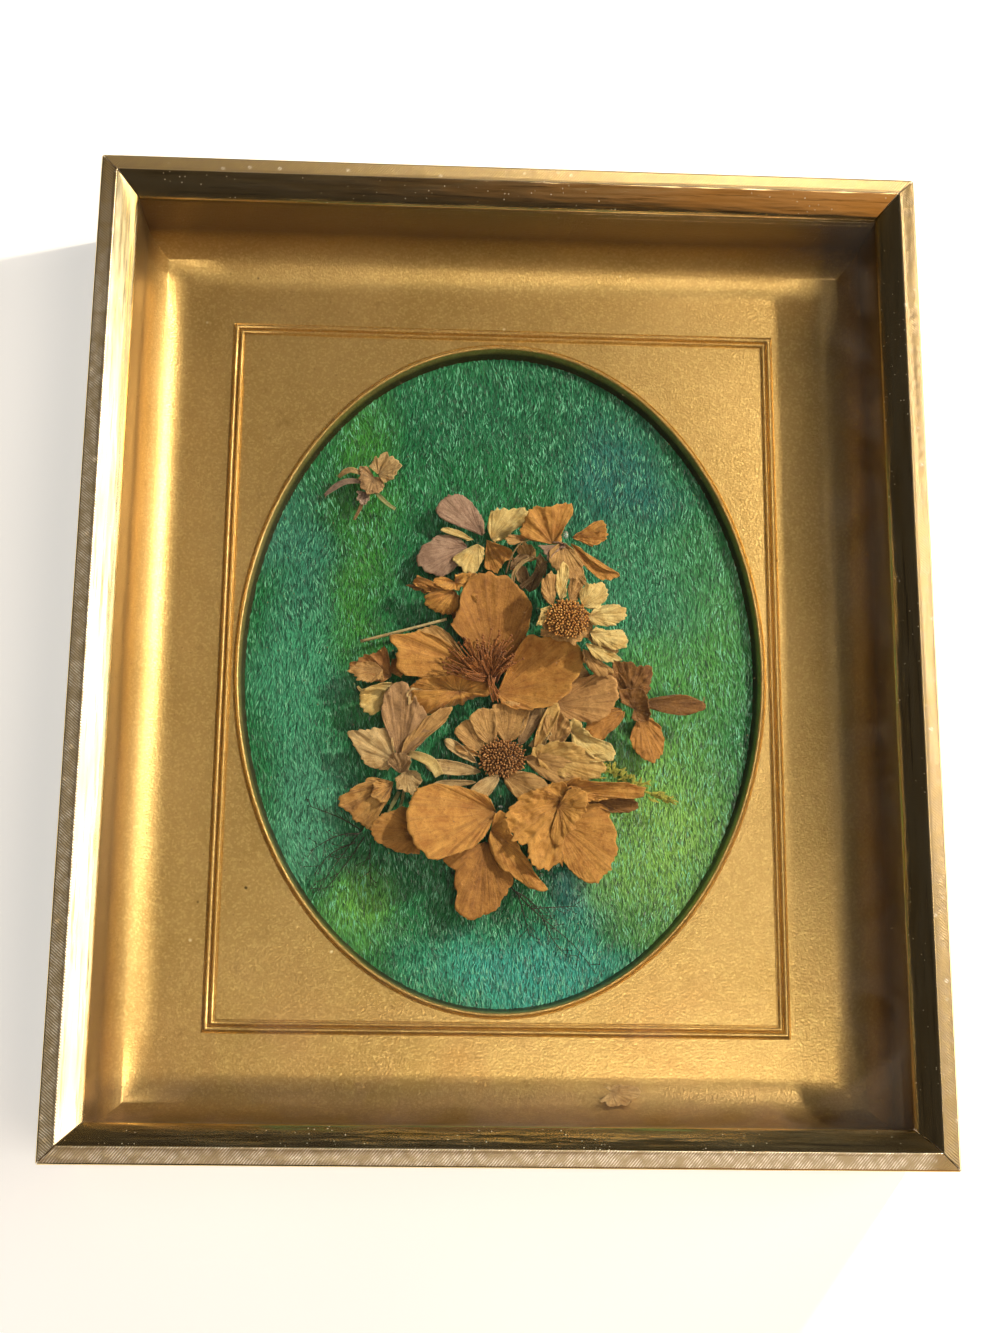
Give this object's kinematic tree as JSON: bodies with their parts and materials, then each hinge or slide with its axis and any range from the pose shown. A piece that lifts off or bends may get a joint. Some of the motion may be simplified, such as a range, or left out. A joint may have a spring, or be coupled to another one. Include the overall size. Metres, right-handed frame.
{
  "type": "pressed flower frame",
  "caption": "Deep glazed frame with brass-clad mitred rails, a coved gold liner with an oval window, and dried flowers fixed to green velvet behind it.",
  "frame": {"origin": "centre of the frame's back, on the surface that it lies on", "axes": "+Z out of the front through the glass, +Y towards the top edge, +X to the right as the front is seen"},
  "size_m": [0.27, 0.321, 0.0585],
  "materials": {
    "brass_cladding": "polished brass sheet with a textured outer band",
    "rail_wood": "bare softwood",
    "window_glass": "clear picture glass",
    "gold_liner": "satin gold lacquer on a pressed tray",
    "green_velvet": "crushed velvet, green to yellow-green",
    "grey_card": "grey board",
    "kraft_card": "brown board",
    "zinc_steel": "zinc-plated sheet",
    "amber_petal": "dried petal, amber with brown veins",
    "tan_petal": "dried petal, tan",
    "mauve_petal": "dried petal, dull mauve",
    "cream_petal": "dried petal, cream yellow",
    "rust_petal": "dried petal, rust brown",
    "pale_tan_petal": "dried petal, pale tan",
    "grey_brown_calyx": "dried calyx, grey brown",
    "seed_head": "dry daisy centre",
    "straw": "dry straw",
    "yellow_green_frond": "dried frond, yellow green",
    "dark_grass": "dry black-brown grass"
  },
  "bodies": {
    "root": {"rim_top": "brass_cladding", "rim_bottom": "brass_cladding", "rim_left": "brass_cladding", "rim_right": "brass_cladding", "rail_core_top": "rail_wood", "rail_core_bottom": "rail_wood", "rail_core_left": "rail_wood", "rail_core_right": "rail_wood", "glass_pane": "window_glass", "liner": "gold_liner", "velvet_cloth": "green_velvet", "mounting_board": "grey_card", "back_board": "kraft_card", "framers_point_1": "zinc_steel", "framers_point_2": "zinc_steel", "framers_point_3": "zinc_steel", "framers_point_4": "zinc_steel", "framers_point_5": "zinc_steel", "framers_point_6": "zinc_steel", "sawtooth_hanger": "zinc_steel", "hanger_rivet_left": "zinc_steel", "hanger_rivet_right": "zinc_steel", "loose_floret": "pale_tan_petal", "mauve_floret": "mauve_petal", "orange_floret": "amber_petal", "dried_calyx": "grey_brown_calyx", "amber_bud": "amber_petal", "yellow_daisy_rays": "cream_petal", "yellow_daisy_disc": "seed_head", "straw_stem": "straw", "amber_flower_petal_left": "amber_petal", "amber_flower_petal_lower": "amber_petal", "amber_flower_petal_top": "amber_petal", "amber_flower_petal_right": "amber_petal", "amber_flower_stamens": "rust_petal", "brown_petal": "tan_petal", "yellow_petal": "cream_petal", "mauve_petal": "mauve_petal", "side_floret": "tan_petal", "fan_petal": "amber_petal", "dark_amber_petal": "amber_petal", "brown_daisy_rays": "tan_petal", "brown_daisy_disc": "seed_head", "rust_floret": "rust_petal", "tan_petal": "tan_petal", "rust_petal": "rust_petal", "yellow_floret": "cream_petal", "lower_flower_petal_left": "amber_petal", "lower_flower_petal_bottom": "amber_petal", "lower_flower_petal_curled": "cream_petal", "lower_flower_petal_crumpled": "amber_petal", "lower_flower_petal_ragged": "amber_petal", "lower_flower_petal_right": "amber_petal", "frond_tip": "yellow_green_frond", "grass_sprig_bottom": "dark_grass", "grass_sprig_left": "dark_grass", "loose_flake": "pale_tan_petal"}
  },
  "joints": []
}
